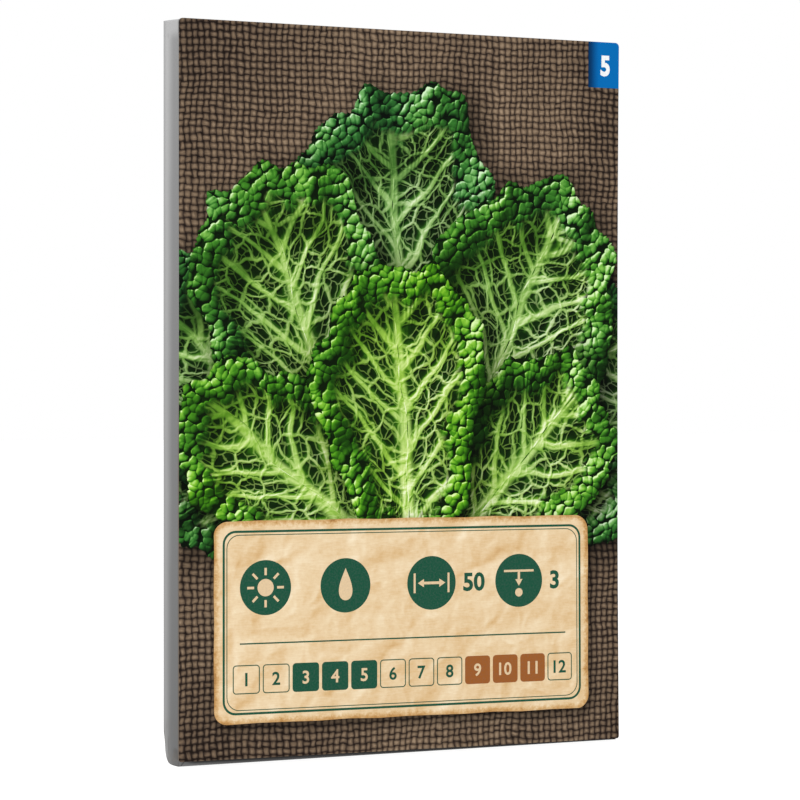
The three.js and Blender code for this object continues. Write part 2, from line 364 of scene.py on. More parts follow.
def inside_and_distance(points, outline):
    """For each point, whether it lies within a closed outline, and how far it is from it."""
    start = outline[None, :, :]
    step = np.roll(outline, -1, axis=0)[None, :, :] - start
    inside = np.zeros(len(points), bool)
    distance = np.empty(len(points))
    for first in range(0, len(points), POINTS_AT_ONCE):
        here = slice(first, first + POINTS_AT_ONCE)
        part = points[here, None, :] - start
        share = np.clip((part * step).sum(-1) / (step ** 2).sum(-1), 0, 1)
        distance[here] = np.linalg.norm(part - share[..., None] * step, axis=-1).min(axis=1)
        crosses = (part[..., 1] >= 0) != (part[..., 1] >= step[..., 1])
        slope = step[..., 0] / np.where(np.abs(step[..., 1]) < 1e-9, 1e-9, step[..., 1])
        hit = crosses & (part[..., 0] < part[..., 1] * slope)
        inside[here] = hit.sum(axis=1) % 2 == 1
    return inside, distance


def shade_under(points, outlines, shift, reach, depth):
    """How much light the outlines lying above let through to each point: 1 in the open, less in shadow."""
    light = np.ones(len(points))
    for outline in outlines:
        moved = points - shift
        near = ((moved > outline.min(axis=0) - reach) & (moved < outline.max(axis=0) + reach)).all(axis=1)
        inside, distance = inside_and_distance(moved[near], outline)
        signed = np.where(inside, -distance, distance)
        open_share = np.clip((signed + 0.25 * reach) / reach, 0, 1)
        light[near] *= 1 - depth * (1 - open_share ** 0.7)
    return light


def light_reaching(x, z, leaves_above):
    """What the leaves above and the label let through to points of the panel."""
    points = np.stack([x, z], axis=1)
    past_leaves = shade_under(points, [leaf.outline() for leaf in leaves_above], **LEAF_SHADOW)
    return past_leaves * shade_under(points, [label_outline()], **LABEL_SHADOW)


# ---- Leaves: their outlines and places ----
LEAF_RINGS = 24
LEAF_STEPS = 720
OUTLINE_STEPS = 140  # a coarser outline serves for a leaf's shadow
ROLL = 0.62  # the rim curls over from this share of the way out
BLISTER = 1.75  # width of one blister on the rim
BLISTER_RISE = 0.55  # how far it pushes the outline out

# Waves round the leaf: how many, and their size as a share of its reach or of its half width.
OUTLINE_WAVES = ((3, 0.03), (5, 0.035), (7, 0.03), (11, 0.026), (17, 0.02), (26, 0.012))
HEIGHT_WAVES = ((4, 0.055), (7, 0.05), (11, 0.035), (17, 0.02))


class Leaf:
    """A loose savoy leaf, drawn flat. s runs up its midrib and t across it, in millimetres."""

    def __init__(self, name, turn, length, half_width, tone, seed, base):
        self.name = name
        self.turn = math.radians(turn)
        self.length = length
        self.half_width = half_width
        self.tone = tone
        self.seed = seed
        self.base = base
        self.middle = 0.54 * length
        self.heel = 0.06 * length
        self.rim_width = (1 - ROLL) * half_width

    def rim(self, steps):
        """The outline as s and t, from the tip round by the right: an egg shape, ruffled and blistered."""
        angle = np.linspace(0, 2 * math.pi, steps, endpoint=False)
        along, across = np.cos(angle), np.sin(angle)
        draw = np.random.default_rng(self.seed)
        ruffle = np.zeros(steps)
        for waves, size in OUTLINE_WAVES:
            ruffle += size * np.sin(waves * angle + draw.uniform(0, 2 * math.pi))

        # the blisters along the rim come at an uneven pace and in uneven sizes
        blisters = round(math.pi * (self.length / 2 + self.half_width) / BLISTER)
        sway = 0.9 * np.sin(9 * angle + draw.uniform(0, 6)) + 0.7 * np.sin(23 * angle + draw.uniform(0, 6))
        bump = np.abs(np.sin(blisters * angle / 2 + sway)) - 0.6
        bump *= 0.75 + 0.25 * np.sin(14 * angle + draw.uniform(0, 6))

        reach = np.where(along > 0, self.length - self.middle, self.middle - self.heel)
        towards_base = ((1 - along) / 2) ** 3
        s_reach = reach * (1 + ruffle) + BLISTER_RISE * bump
        t_reach = self.half_width * (1 + 0.1 * along) * (1 + ruffle) + BLISTER_RISE * bump
        s = self.middle + s_reach * np.sign(along) * np.abs(along) ** 0.92
        t = t_reach * np.sign(across) * np.abs(across) ** 0.88
        return angle, s, t * (1 - 0.3 * towards_base)

    def on_panel(self, s, t):
        cos, sin = math.cos(self.turn), math.sin(self.turn)
        return self.base[0] + s * sin + t * cos, self.base[1] + s * cos - t * sin

    def light_along(self):
        """The print's light, seen from the leaf: along s, along t and out of the leaf."""
        cos, sin = math.cos(self.turn), math.sin(self.turn)
        light = PRINT_LIGHT
        return np.array((light.x * sin + light.y * cos, light.x * cos - light.y * sin, light.z))

    def outline(self):
        _, s, t = self.rim(OUTLINE_STEPS)
        return np.stack(self.on_panel(s, t), axis=1)

    def form(self, rings, angle, s, t):
        """Light on the leaf's large shape: a shallow cup of two tilted halves with a ruffled, curled rim."""
        draw = np.random.default_rng(self.seed + 1)

        # the leaf's height
        curled = np.clip((rings - ROLL) / (1 - ROLL), 0, 1)
        cup = 0.10 * self.half_width * rings ** 2
        halves = 0.15 * np.abs(t)
        curl = 0.5 * self.rim_width * np.sin(2.4 * curled)
        ruffles = np.zeros_like(cup + halves)
        for waves, size in HEIGHT_WAVES:
            turn = waves * angle + draw.uniform(0, 2 * math.pi) + 2.2 * rings
            ruffles += size * self.half_width * rings ** 2.2 * np.sin(turn)

        # its slope towards the light, with hollows and the crease before the rim kept darker
        place = np.stack(np.broadcast_arrays(s, t, cup + halves + curl + ruffles), axis=-1)
        outward = np.gradient(place, axis=0)
        around = np.roll(place, -1, axis=1) - np.roll(place, 1, axis=1)
        normal = np.cross(outward, around)
        normal *= np.sign(normal[..., 2:] + 1e-12)
        normal /= np.maximum(np.linalg.norm(normal, axis=-1, keepdims=True), 1e-9)
        lit = np.clip(normal @ self.light_along(), 0, 1)
        hollow = np.clip(0.75 + ruffles / (0.16 * self.half_width), 0.4, 1)
        crease = 1 - 0.35 * np.exp(-((rings - ROLL) / 0.06) ** 2)
        return np.clip((0.22 + 1.08 * lit) * (0.4 + 0.6 * hollow) * crease, 0, 1.2)


# Turn in degrees, length, half width, tone from deep green to lime, number that starts its draws, base.
LEAVES = [
    Leaf("leaf_left_low", -78, 58, 20, 0.1, 11, base=(-6, 56)),
    Leaf("leaf_right_low", 84, 58, 21, 0.15, 23, base=(4, 61)),
    Leaf("leaf_middle_back", -2, 107, 27, 0.0, 31, base=(0, 41)),
    Leaf("leaf_left_back", -47, 84, 24, 0.1, 37, base=(-2, 46)),
    Leaf("leaf_right_back", 51, 80, 23, 0.05, 41, base=(2, 48)),
    Leaf("leaf_left_tall", -23, 93, 24, 0.45, 53, base=(-2, 42)),
    Leaf("leaf_right_tall", 25, 90, 25, 0.35, 67, base=(3, 43)),
    Leaf("leaf_left_small", -50, 61, 19, 0.8, 83, base=(-4, 41)),
    Leaf("leaf_right_small", 44, 60, 19, 0.7, 97, base=(6, 40)),
    Leaf("leaf_heart", -3, 70, 21, 0.9, 101, base=(1, 38)),
]


# ---- Leaf material ----
LIGHT_STEP = 0.3  # how far towards the print's light the relief is compared, in mm
SIDE_VEIN_SPACING = 9.4  # measured along the midrib
SIDE_VEIN_RISE = 1.05  # how steeply a side vein climbs as it runs outwards
NET_CELL = 4.2
FINE_CELL = 1.8

# What each kind of vein does: how far it rises, how pale its crest is, and its glow's reach and strength.
VEIN_RISE = (("rib", 1.3), ("side", 1.0), ("net", 0.55), ("fine", 0.18))
VEIN_PALENESS = (("rib", 0.95), ("side", 0.95), ("net", 0.7), ("fine", 0.3))
VEIN_GLOW = (("rib", 5.0, 0.42), ("side", 3.2, 0.42), ("net", 1.5, 0.26), ("fine", 0.7, 0.12))

# Colours from shadow to light: the places on the way, then those of a deep green leaf and of a lime one.
HOLLOW_COLOURS = ((0.0, 0.15, 0.35, 0.6, 1.0),
                  "040d03 0b2207 214a14 4d8430 a0c877", "071303 123006 33680c 75ab22 c5e570")
VEIN_COLOURS = ((0.0, 0.25, 0.5, 0.75, 1.0),
                "10260a 3f6d2b 82ad5c bad796 e8f4d2", "1c3b08 5c8f1f 9ac548 cfe58c f3fad2")
RIM_COLOURS = ((0.0, 0.2, 0.45, 0.7, 1.0),
               "040c05 0f2d12 2f6f2f 6fae62 d2f0c8", "091a03 1d4a08 4a9214 8fcb34 e2f8ab")


def sway(graph, place, scale, reach, detail=1.0):
    """A smooth random shift of places by up to about half of reach, in mm."""
    wander = graph.noise(place, scale, detail, output="Color")
    wander = graph.vector_math("SUBTRACT", wander, (0.5, 0.5, 0.5))
    return graph.vector_math("ADD", place, graph.vector_math("MULTIPLY", wander, (reach, reach, 0.0)))


def savoy_veins(graph, place, length):
    """The blade's veins, which stand proud like walls over hollow cells.

    Gives how far each kind of vein is from the place, how thick it is there, and the height of them all.
    """
    _, straight_t, _ = graph.separate(place)
    s, t, _ = graph.separate(sway(graph, place, 0.05, 9.0))
    aside = abs(t)
    right = graph.math("GREATER_THAN", t, 0.0)

    # side veins leave the midrib in turn on either side and curve up towards the rim
    climb = s - aside * SIDE_VEIN_RISE - aside * aside * 0.012
    steep = math.hypot(1, SIDE_VEIN_RISE)
    along = (s * SIDE_VEIN_RISE + aside) * (0.85 / steep)
    kinked = sway(graph, graph.combine(climb * (1 / steep), along, right), 0.28, 2.6, 2.0)
    kinked_climb, _, _ = graph.separate(kinked)
    side_place = kinked_climb * (0.4 * steep) + climb * 0.6
    count = right * 0.5 + side_place * (1 / SIDE_VEIN_SPACING)
    apart = abs(graph.math("FRACT", count) - 0.5)
    netted = graph.vector_math("ADD", kinked, graph.combine(0.0, right * 80.0))
    net = graph.voronoi(netted, 1 / NET_CELL, "DISTANCE_TO_EDGE")
    fine = graph.voronoi(sway(graph, netted, 0.5, 1.2), 1 / FINE_CELL, "DISTANCE_TO_EDGE")

    far = {
        "rib": abs((t - straight_t) * 0.5 + straight_t),
        "side": apart * (SIDE_VEIN_SPACING / steep),
        "net": net * NET_CELL,
        "fine": fine * FINE_CELL,
    }
    thick = {
        "rib": graph.linear(s, 0.0, length, 2.0, 0.45),
        "side": graph.linear(aside, 0.0, 24.0, 0.62, 0.3),
        "net": 0.26,
        "fine": 0.13,
    }
    height = 0.0
    for name, rise in VEIN_RISE:
        share = far[name] / thick[name]
        height = graph.smooth(share, 0.2, 2.6, 1.0, 0.0) * rise + height
    return far, thick, height


def savoy_blisters(graph, place):
    """The curled rim: round blisters packed side by side. Gives the height, and that of the domes alone."""
    bent = sway(graph, place, 0.25, 2.6, 2.0)
    nearest = graph.voronoi(bent, 1 / BLISTER)
    large = graph.voronoi(bent, 1 / (2.6 * BLISTER), "SMOOTH_F1", Smoothness=0.6)
    dome = graph.math("SQRT", graph.math("MAXIMUM", 1.0 - nearest * nearest * 2.0, 0.0))
    return dome * 0.9 - large * 0.7, dome


def leaf_colour(graph, tone, light, colours):
    places, deep, lime = colours
    return graph.mix(tone, graph.ramp(light, places, deep), graph.ramp(light, places, lime))


def leaf_material(leaf):
    graph = printed(leaf.name + "_print")
    flat_spot = graph.node("ShaderNodeUVMap", uv_map="Place")
    spot = graph.vector_math("ADD", flat_spot, (0.0, 0.0, float(leaf.seed)))
    towards = leaf.light_along()[:2] * LIGHT_STEP / np.linalg.norm(leaf.light_along()[:2])
    lit_spot = graph.vector_math("ADD", spot, (towards[0], towards[1], 0.0))
    form, cover, edge = graph.attribute("form"), graph.attribute("cover"), graph.attribute("edge")
    patch = graph.noise(spot, 0.05, detail=2.0) - 0.5
    tone = graph.math("ADD", patch * 1.1, leaf.tone, clamp=True)
    mottle = graph.noise(spot, 0.7, detail=4.0, roughness=0.6) - 0.5

    # the blade: dark hollows between veins, which throw a green glow down their flanks
    far, thick, height = savoy_veins(graph, spot, leaf.length)
    slope = height - savoy_veins(graph, lit_spot, leaf.length)[2]
    glow = mottle * 0.25 + 0.10
    for name, reach, most in VEIN_GLOW:
        near = graph.smooth(far[name], 0.0, reach, 1.0, 0.0)
        glow = near * near * most + glow
    glow = form * (slope * 0.75 + glow)
    blade = leaf_colour(graph, tone, glow, HOLLOW_COLOURS)
    vein_light = form * (slope * 0.7 + 0.62) + 0.16
    vein = leaf_colour(graph, tone, vein_light, VEIN_COLOURS)
    core = 0.0
    for name, most in VEIN_PALENESS:
        share = far[name] / thick[name]
        core = graph.math("MAXIMUM", core, graph.smooth(share, 0.5, 1.5, most, 0.0))
    blade = graph.mix(core, blade, vein)

    # the rim: packed round blisters, dark in the creases
    height, dome = savoy_blisters(graph, spot)
    slope = height - savoy_blisters(graph, lit_spot)[0]
    light = slope * 1.7 + dome * 0.56 + 0.02
    light = (form * 0.95 + 0.1) * (mottle * 0.25 + light)
    blisters = leaf_colour(graph, tone, light, RIM_COLOURS)

    # the blade gives way to the rim along a ragged line, and the leaf's very edge is darker
    ragged = graph.noise(spot, 0.16, detail=3.0) - 0.5
    band = ragged * 9.0 + edge
    on_rim = graph.smooth(band, leaf.rim_width * 0.8, leaf.rim_width * 1.15, 1.0, 0.0)
    shade = cover * graph.smooth(edge, 0.0, 0.5, 0.6, 1.0)
    return graph.finish(graph.shaded(graph.mix(on_rim, blade, blisters), shade))


def add_leaf(leaf, layer, leaves_above):
    angle, rim_s, rim_t = leaf.rim(LEAF_STEPS)
    rings = np.linspace(0, 1, LEAF_RINGS + 1)[1:, None]
    ring_s, ring_t = leaf.middle + rings * (rim_s - leaf.middle), rings * rim_t
    ring_form = leaf.form(rings, angle[None, :], ring_s, ring_t)
    ring_edge = (1 - rings) * np.hypot(rim_s - leaf.middle, rim_t)

    s = np.concatenate([[leaf.middle], ring_s.ravel()])
    t = np.concatenate([[0.0], ring_t.ravel()])
    form = np.concatenate([[ring_form[0].mean()], ring_form.ravel()])
    edge = np.concatenate([[leaf.half_width], ring_edge.ravel()])
    x, z = leaf.on_panel(s, t)
    values = {"form": form, "cover": light_reaching(x, z, leaves_above), "edge": edge}
    faces = [(0, 1 + (k + 1) % LEAF_STEPS, 1 + k) for k in range(LEAF_STEPS)]
    faces += grid_faces(LEAF_RINGS, LEAF_STEPS, first=1, closed=True)
    y = np.full(len(x), FRONT - layer * LAYER)
    made = make_mesh(leaf.name, np.stack([x, y, z], axis=1), faces, [leaf_material(leaf)],
                     uv=np.stack([s, t], axis=1), values=values, smooth=False)
    trim_to_panel(made)
    return made


def trim_to_panel(piece):
    """Cuts a printed layer off at the panel's edges and then follows the card's bowed outline."""
    shape = bmesh.new()
    shape.from_mesh(piece.data)
    cuts = ((WIDTH / 2, 0, 1, 0), (-WIDTH / 2, 0, -1, 0), (0, HEIGHT, 0, 1), (0, 0, 0, -1))
    for x, z, normal_x, normal_z in cuts:
        geometry = shape.verts[:] + shape.edges[:] + shape.faces[:]
        bmesh.ops.bisect_plane(shape, geom=geometry, dist=1e-7, plane_co=(x * MM, 0, z * MM),
                               plane_no=(normal_x, 0, normal_z), clear_outer=True)
    shape.to_mesh(piece.data)
    shape.free()
    places = np.empty(len(piece.data.vertices) * 3)
    piece.data.vertices.foreach_get("co", places)
    places = places.reshape(-1, 3)
    x, z = on_card(places[:, 0] / MM, places[:, 2] / MM)
    places[:, 0], places[:, 2] = x * MM, z * MM
    piece.data.vertices.foreach_set("co", places.ravel())
    piece.data.update()


# ---- Sacking: the ground of the print ----
THREAD = 1.5  # from one thread of the sacking to the next


def sacking_material():
    graph = printed("sacking_print")
    place = graph.place_mm()
    straight_x, _, straight_z = graph.separate(place)

    # the threads wander, and pass over and under one another in turn
    drift = graph.noise(place, 0.06, detail=2.0) - 0.5
    tremble = graph.noise(place, 0.5, detail=2.0) - 0.5
    x = drift * 3.5 + tremble * 0.7 + straight_x
    z = drift * -2.5 + tremble * -0.7 + straight_z
    u, v = x / THREAD, z / THREAD
    whole_u, whole_v = graph.math("FLOOR", u), graph.math("FLOOR", v)
    across_u = graph.math("FRACT", u) - 0.5
    across_v = graph.math("FRACT", v) - 0.5
    over = graph.math("FLOORED_MODULO", whole_u + whole_v, 2.0)

    def thread(number, across, along, run, direction):
        """One set of threads: its height, rounded across and arched over each crossing, and its tone."""
        own = graph.noise(graph.combine(number * 3.7, direction), 1.0, detail=0.0)
        slub = graph.noise(graph.combine(number * 5.1, run * 0.12, direction), 1.0)
        width = (slub - 0.5) * 0.9 + 0.96
        share = abs(across * 2.0) / width
        round_off = graph.math("SUBTRACT", 1.0, share ** 2.4, clamp=True)
        arch = 1.0 - along * along * 2.0
        twist = across * 1.6 + run * 1.4
        ply = graph.math("SINE", twist * math.pi)
        fibre = graph.noise(graph.combine(across * 6.0, run * 0.6, number), 1.0, detail=3.0)
        tone = (own - 0.5) * 0.55 + ply * 0.05
        tone = (fibre - 0.5) * 0.75 + tone
        return round_off * arch, tone

    upright, upright_tone = thread(whole_u, across_u, across_v, z, 0.0)
    level, level_tone = thread(whole_v, across_v, across_u, x, 40.0)
    under = 1.0 - over
    height = graph.math("MAXIMUM", upright * (under * 0.45 + 0.55), level * (over * 0.45 + 0.55))
    tone = upright_tone * under + level_tone * over
    patch = graph.noise(place, 0.035, detail=3.0) - 0.5
    light = height * 0.66 + tone * 0.5 + patch * 0.35

    # the print darkens towards the card's corners
    off_x = straight_x * (2 / WIDTH)
    off_z = straight_z * (2 / HEIGHT) - 1.0
    far = off_x * off_x + off_z * off_z
    light = graph.smooth(far, 0.5, 2.0) * -0.16 + light
    colour = graph.ramp(light, (0.0, 0.22, 0.5, 0.75, 1.0), "1c1410 3f332b 75624f a08a72 cdb99e")
    return graph.finish(graph.shaded(colour, graph.attribute("cover")))


CLEAN_EDGE = (60.0, 92.0)  # the height over which the cut edge turns from browned to clean


def board_material():
    """The card's cut edge, browned by the print's ink in its lower half."""
    graph = Graph("card_stock", roughness=0.8, specular=0.1)
    place = graph.place_mm()
    _, _, z = graph.separate(place)
    fibre = graph.noise(place, 2.5, detail=5.0, roughness=0.65)
    browned = graph.mix(fibre, srgb("4c443d"), srgb("6f665e"))
    clean = graph.mix(fibre, srgb("62615f"), srgb("787776"))
    return graph.finish(graph.mix(graph.smooth(z, *CLEAN_EDGE), browned, clean))


CARD_GRID = 1.0

# Near the card's edges the rows and columns stand closer, at these places.
CARD_EDGE_PLACES = (0.0, 0.06, 0.16, 0.3, 0.45, CORNER, 0.75, TOP_CORNER)


def spread(low, high, step, close):
    """Places from low to high with the given step, and a few close ones at each end for a round corner."""
    inner = np.linspace(low + close[-1], high - close[-1], round((high - low) / step))
    return np.concatenate([low + np.array(close[:-1]), inner, high - np.array(close[:-1])[::-1]])


def add_card():
    """The card: its printed front, and its cut edges and back in plain board."""
    columns = spread(-WIDTH / 2, WIDTH / 2, CARD_GRID, CARD_EDGE_PLACES)
    rows = spread(0, HEIGHT, CARD_GRID, CARD_EDGE_PLACES)
    x, z = grid_points(columns, rows)
    x, z = clip_to_card(x, z)
    cover = light_reaching(x, z, LEAVES)
    x, z = on_card(x, z)
    front = np.stack([x, np.full(len(x), FRONT), z], axis=1)
    front_faces = grid_faces(len(rows), len(columns))
    rim = grid_rim(len(rows), len(columns))
    points, faces = backed(front, front_faces, rim, (0, FRONT, HEIGHT / 2), CARD_HIGH[1] - FRONT)
    cover = np.concatenate([cover, cover[rim], [1.0]])
    made = make_mesh("printed_card", points, faces, [sacking_material(), board_material()],
                     values={"cover": cover}, smooth=False)
    for polygon in made.data.polygons[len(front_faces):]:
        polygon.material_index = 1
    return made


# ---- Kraft label printed on the card ----
LABEL_LEFT, LABEL_RIGHT = -46.0, 46.0
LABEL_BOTTOM, LABEL_TOP = 7.5, 51.5
LABEL_RADIUS = 3.0
LABEL_STEPS = 12  # points along each side of its outline
LABEL_RINGS = 27
CORNER_STEPS = 8
LABEL_LAYER = len(LEAVES) + 1
INK_LAYER = LABEL_LAYER + 1
LARGE_FACET = 15
SMALL_FACET = 6
BORDER_LINES = ((2.0, 0.5), (2.9, 0.18))  # how far inside a label's edge, and how wide
DEEP_GREEN = "14503a"
BROWN = "9a5a26"
KRAFT = "e3c79f"


def rounded_rectangle(left, right, bottom, top, radius):
    """Its outline, counter-clockwise as seen from the front."""
    points = []
    for x, z, first in ((right - radius, top - radius, 0), (left + radius, top - radius, 1),
                        (left + radius, bottom + radius, 2), (right - radius, bottom + radius, 3)):
        for angle in (first + np.linspace(0, 1, CORNER_STEPS + 1)) * math.pi / 2:
            points.append((x + radius * math.cos(angle), z + radius * math.sin(angle)))
    return np.array(points)


def divided(outline, steps):
    """The same outline with more points: each of its sides in that many steps."""
    shares = np.linspace(0, 1, steps, endpoint=False)[:, None]
    ends = np.roll(outline, -1, axis=0)
    return np.concatenate([here + shares * (after - here) for here, after in zip(outline, ends)])


def label_outline():
    """The label is cut a little unevenly."""
    points = rounded_rectangle(LABEL_LEFT, LABEL_RIGHT, LABEL_BOTTOM, LABEL_TOP, LABEL_RADIUS)
    points = divided(points, LABEL_STEPS)
    waver = 0.12 * np.sin(0.35 * points[:, 0] + 0.5) + 0.1 * np.sin(0.9 * points[:, 0] + 0.4 * points[:, 1])
    return points + np.stack([0.6 * waver, waver], axis=1)


def on_layer(points, layer):
    """Points of the flat panel, as points of a printed layer on the card."""
    points = np.asarray(points, float)
    x, z = on_card(points[:, 0], points[:, 1])
    return np.stack([x, np.full(len(x), FRONT) - layer * LAYER, z], axis=1)


def on_back(points, layer):
    """Points drawn as seen from behind, as points of a printed layer on the back label."""
    points = np.asarray(points, float)
    y = np.full(len(points), LABEL_HIGH[1]) + layer * LAYER
    return np.stack([-points[:, 0], y, points[:, 1]], axis=1)


def filled(outline):
    """Points and faces that fill an outline, in rings round its middle."""
    middle = outline.mean(axis=0)
    shares = np.linspace(0, 1, LABEL_RINGS + 1)[1:] ** 0.8
    points = np.concatenate([[middle]] + [middle + share * (outline - middle) for share in shares])
    count = len(outline)
    faces = [(0, 1 + k, 1 + (k + 1) % count) for k in range(count)]
    faces += [tuple(reversed(face)) for face in grid_faces(LABEL_RINGS, count, first=1, closed=True)]
    return points, faces


def kraft_material(name, roughness):
    """Crumpled kraft paper, clouded and full of fibres, and darker along its worn edge. The crumples' light
    and shade are painted into its colour.
    """
    graph = printed(name, roughness)
    place = graph.place_mm()
    edge = graph.attribute("edge")
    cloud = graph.noise(place, 0.07, detail=3.0) - 0.5
    pulp = graph.noise(place, 1.1, detail=5.0, roughness=0.7) - 0.5
    x, _, z = graph.separate(place)
    strand = graph.noise(graph.combine(x * 0.5, z * 3.2), 1.0, detail=3.0) - 0.5

    def crumple(spot):
        """The paper's height over large and small facets between its folds."""
        bent = sway(graph, spot, 0.12, 6.0, 2.0)
        fold = graph.voronoi(bent, 1 / LARGE_FACET, "DISTANCE_TO_EDGE")
        small = graph.voronoi(bent, 1 / SMALL_FACET, "DISTANCE_TO_EDGE")
        return graph.smooth(fold, 0.0, 0.3) + graph.smooth(small, 0.0, 0.35, 0.0, 0.35)

    flat = graph.combine(x, z)
    # painted light and shade of the crumples, from their slope towards a light at the upper left: part of
    # the print on the front label, painted onto the back label's own paper
    slope = crumple(flat) - crumple(graph.vector_math("ADD", flat, (-0.5, 0.5, 0.0)))
    light = slope * 0.45 + 0.68
    light = cloud * 0.4 + light
    light = pulp * 0.32 + light
    light = strand * 0.25 + light
    worn = pulp * 2.6 + edge
    light = graph.smooth(worn, 0.0, 1.5, 1.0, 0.0) * -0.4 + light
    return graph.finish(graph.ramp(light, (0.0, 0.25, 0.5, 0.75, 1.0), "8d6235 c1935a d9b685 e8cfa8 f6e6c8"))


def add_label():
    outline = label_outline()
    points, faces = filled(outline)
    _, edge = inside_and_distance(points, outline)
    return make_mesh("kraft_label_print", on_layer(points, LABEL_LAYER), faces,
                     [kraft_material("kraft_print", 0.5)], values={"edge": edge}, smooth=False)


# ---- Ink: flat shapes and plain numbers ----
OVERLAP_LIFT = 0.15  # in layers
OVERLAPS = 5
DISC_STEPS = 48


def direction(start, end):
    """The unit vector from start to end, and the one a quarter turn to its left."""
    ahead = (end - start) / np.linalg.norm(end - start)
    return ahead, np.array((-ahead[1], ahead[0]))


class Ink:
    """Flat printed shapes of one colour, gathered into one mesh."""

    def __init__(self, name, code, layer, place=on_layer):
        self.name = name
        self.code = code
        self.layer = layer
        self.place = place
        self.points = []
        self.layers = []
        self.faces = []

    def take(self, points):
        """Adds points, a hair above those before them so that shapes may overlap. Gives the first index."""
        first = len(self.points)
        lift = OVERLAP_LIFT * (len(self.faces) % OVERLAPS)
        self.points += [tuple(point) for point in points]
        self.layers += [self.layer + lift] * len(points)
        return first

    def fill(self, outline):
        """A filled shape without hollows in its outline."""
        first = self.take(outline)
        self.faces.append(tuple(range(first, first + len(outline))))

    def band(self, outside, inside):
        """The strip between two outlines that have the same number of points."""
        count = len(outside)
        first = self.take(list(outside) + list(inside))
        for k in range(count):
            after = (k + 1) % count
            self.faces.append((first + k, first + after, first + count + after, first + count + k))

    def frame(self, left, right, bottom, top, radius, width):
        """A line of that width, inside the rounded rectangle."""
        within = (left + width, right - width, bottom + width, top - width)
        self.band(rounded_rectangle(left, right, bottom, top, radius),
                  rounded_rectangle(*within, max(radius - width, 0.05)))

    def border(self, left, right, bottom, top):
        for inset, width in BORDER_LINES:
            self.frame(left + inset, right - inset, bottom + inset, top - inset, LABEL_RADIUS, width)

    def disc(self, x, z, radius):
        turn = np.linspace(0, 2 * math.pi, DISC_STEPS, endpoint=False)
        self.fill(np.stack([x + radius * np.cos(turn), z + radius * np.sin(turn)], axis=1))

    def stroke(self, start, end, width):
        start, end = np.array(start, float), np.array(end, float)
        _, aside = direction(start, end)
        half = aside * width / 2
        self.fill([start - half, end - half, end + half, start + half])

    def arrow(self, start, end, width, head):
        start, end = np.array(start, float), np.array(end, float)
        ahead, aside = direction(start, end)
        self.stroke(start, end - ahead * head * 0.8, width)
        barb_root, barb = end - ahead * head, aside * head * 0.62
        self.fill([barb_root - barb, end, barb_root + barb])

    def number(self, text, x, z, height, stretch=1.0, weight=0.0):
        """A plain number in Blender's own font, centred on x and z. weight makes its strokes wider."""
        curve = bpy.data.curves.new("number", "FONT")
        curve.body = text
        curve.offset = weight
        curve.resolution_u = 4
        holder = bpy.data.objects.new("number", curve)
        mesh = holder.to_mesh()
        flat = np.array([(vertex.co.x, vertex.co.y) for vertex in mesh.vertices])
        faces = [tuple(face.vertices) for face in mesh.polygons]
        holder.to_mesh_clear()
        bpy.data.objects.remove(holder)
        bpy.data.curves.remove(curve)
        low, high = flat.min(axis=0), flat.max(axis=0)
        size = height / (high[1] - low[1])
        placed = (flat - (low + high) / 2) * (size * stretch, size) + (x, z)
        first = self.take(placed)
        self.faces += [tuple(first + index for index in face) for face in faces]

    def make(self):
        graph = printed(self.name)
        wear = graph.noise(graph.place_mm(), 2.2, detail=4.0, roughness=0.7)
        worn = tuple(0.8 * part + 0.03 for part in srgb(self.code))
        material = graph.finish(graph.mix(graph.smooth(wear, 0.35, 0.75), srgb(self.code), worn))
        points = self.place(self.points, np.array(self.layers))
        return make_mesh(self.name, points, self.faces, [material], smooth=False)


MONTHS = 12
SOW_MONTHS = (3, 4, 5)
PICK_MONTHS = (9, 10, 11)
MONTH_BOX = 6.3
MONTH_CORNER = 0.8
MONTH_LINE = 0.22
MONTH_NUMBER = 2.9  # height of its numbers
MONTH_PITCH = 7.0
MONTH_Z = 14.0
PICTURE_PLACES = (-34.0, -15.0, 6.0, 28.0)
PICTURE_Z = 37.0
PICTURE_RADIUS = 6.0
PICTURE_NUMBER = 4.2  # height of the numbers beside the pictures
ARROW_WIDTH = 0.6
ARROW_HEAD = 1.5
SPACING_CM = "50"
DEPTH_CM = "3"


def draw_months(green, brown, light, bottom):
    """A row of boxes with plain month numbers, some filled in for sowing and some for picking."""
    for month in range(1, MONTHS + 1):
        x = (month - (MONTHS + 1) / 2) * MONTH_PITCH
        box = (x - MONTH_BOX / 2, x + MONTH_BOX / 2, bottom, bottom + MONTH_BOX, MONTH_CORNER)
        filled_in = green if month in SOW_MONTHS else brown if month in PICK_MONTHS else None
        if filled_in:
            filled_in.fill(rounded_rectangle(*box))
        else:
            green.frame(*box, MONTH_LINE)
        ink = light if filled_in else green
        ink.number(str(month), x, bottom + MONTH_BOX / 2, MONTH_NUMBER, weight=0.02)


def draw_sun(ink, x, z):
    ink.disc(x, z, 1.9)
    rays = 8
    for ray in range(rays):
        turn = 2 * math.pi * ray / rays
        ahead = np.array((math.cos(turn), math.sin(turn)))
        ink.stroke((x, z) + ahead * 2.7, (x, z) + ahead * 4.3, 0.55)


def draw_drop(ink, x, z):
    turn = np.linspace(0, 2 * math.pi, 40, endpoint=False)
    half = 2.3 * np.sin(turn) * np.sin(turn / 2) ** 1.4
    ink.fill(np.stack([x - half, z + (0.3 + 3.6 * np.cos(turn))], axis=1))


def draw_spacing(ink, x, z, reach=4.2):
    """Two arrows that point apart, each at a stop."""
    for side in (-1, 1):
        ink.arrow((x, z), (x + side * (reach - 0.8), z), ARROW_WIDTH, ARROW_HEAD)
        ink.stroke((x + side * reach, z - 2.2), (x + side * reach, z + 2.2), 0.5)


